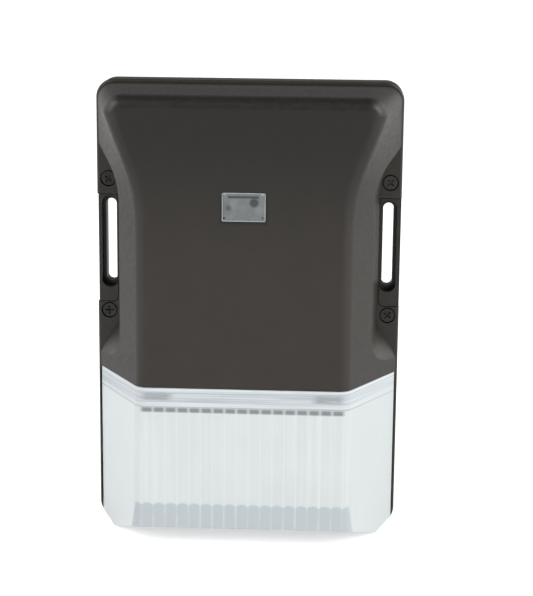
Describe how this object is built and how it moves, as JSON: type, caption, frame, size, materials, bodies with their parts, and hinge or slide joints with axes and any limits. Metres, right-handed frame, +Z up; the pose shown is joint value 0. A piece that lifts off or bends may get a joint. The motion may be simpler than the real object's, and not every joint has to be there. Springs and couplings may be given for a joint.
{
  "type": "wall pack light",
  "caption": "Slim wall pack light: cast hood scooped out at the sides, a small photocell window, side slots for wall screws, and a deep fluted lens below.",
  "frame": {"origin": "middle of the housing's flat face on the wall", "axes": "+Z up along the tall sides, -Y out of the wall towards the lens's front, +X to the right when facing the light"},
  "size_m": [0.133, 0.048, 0.199],
  "materials": {
    "housing_coat": "dark bronze powder coat with a fine texture on cast aluminium",
    "cover_coat": "dark bronze powder coat with a fine texture on cast aluminium",
    "gasket_rubber": "black silicone rubber",
    "wall_foam": "black closed cell foam",
    "lens_plastic": "clear polycarbonate, fluted inside",
    "window_plastic": "clear smoky plastic",
    "coated_steel": "bronze coated steel",
    "thermal_silicone": "grey silicone",
    "white_board": "white solder mask",
    "led_phosphor": "yellow phosphor",
    "plain_steel": "zinc plated steel",
    "reflector_white": "white satin plastic",
    "driver_plastic": "black plastic",
    "potting": "dark grey potting compound",
    "plated_steel": "zinc plated bent sheet",
    "sensor_board": "pale grey circuit board",
    "sensor_black": "dark sensor lens",
    "red_sheath": "red wire insulation",
    "black_sheath": "black wire insulation",
    "white_sheath": "white wire insulation",
    "green_sheath": "green wire insulation",
    "connector_plastic": "red-brown moulded plastic",
    "green_screw": "green passivated steel"
  },
  "bodies": {
    "housing": {"back_housing": "housing_coat", "cover_gasket": "gasket_rubber", "wall_gasket": "wall_foam", "thermal_pad": "thermal_silicone", "led_board": "white_board", "led_chips": "led_phosphor", "led_board_screws": "plain_steel", "reflector": "reflector_white", "reflector_screws": "plain_steel", "driver_case": "driver_plastic", "driver_potting": "potting", "driver_screws": "plain_steel", "photocell_bracket": "plated_steel", "bracket_screw": "plain_steel", "photocell_board": "sensor_board", "photocell_sensor": "sensor_black", "photocell_leads": "red_sheath", "line_lead": "black_sheath", "neutral_lead": "white_sheath", "earth_lead": "green_sheath", "led_leads": "red_sheath", "wire_nuts": "connector_plastic", "earth_screw": "green_screw"},
    "cover": {"front_cover": "cover_coat", "lens": "lens_plastic", "lens_seal": "gasket_rubber", "photocell_window": "window_plastic", "cover_screws": "coated_steel"}
  },
  "joints": [
    {"name": "cover_lift_off", "type": "slide", "parent": "housing", "child": "cover", "axis": [0, -1, 0], "range_m": [0, 0.08]}
  ]
}
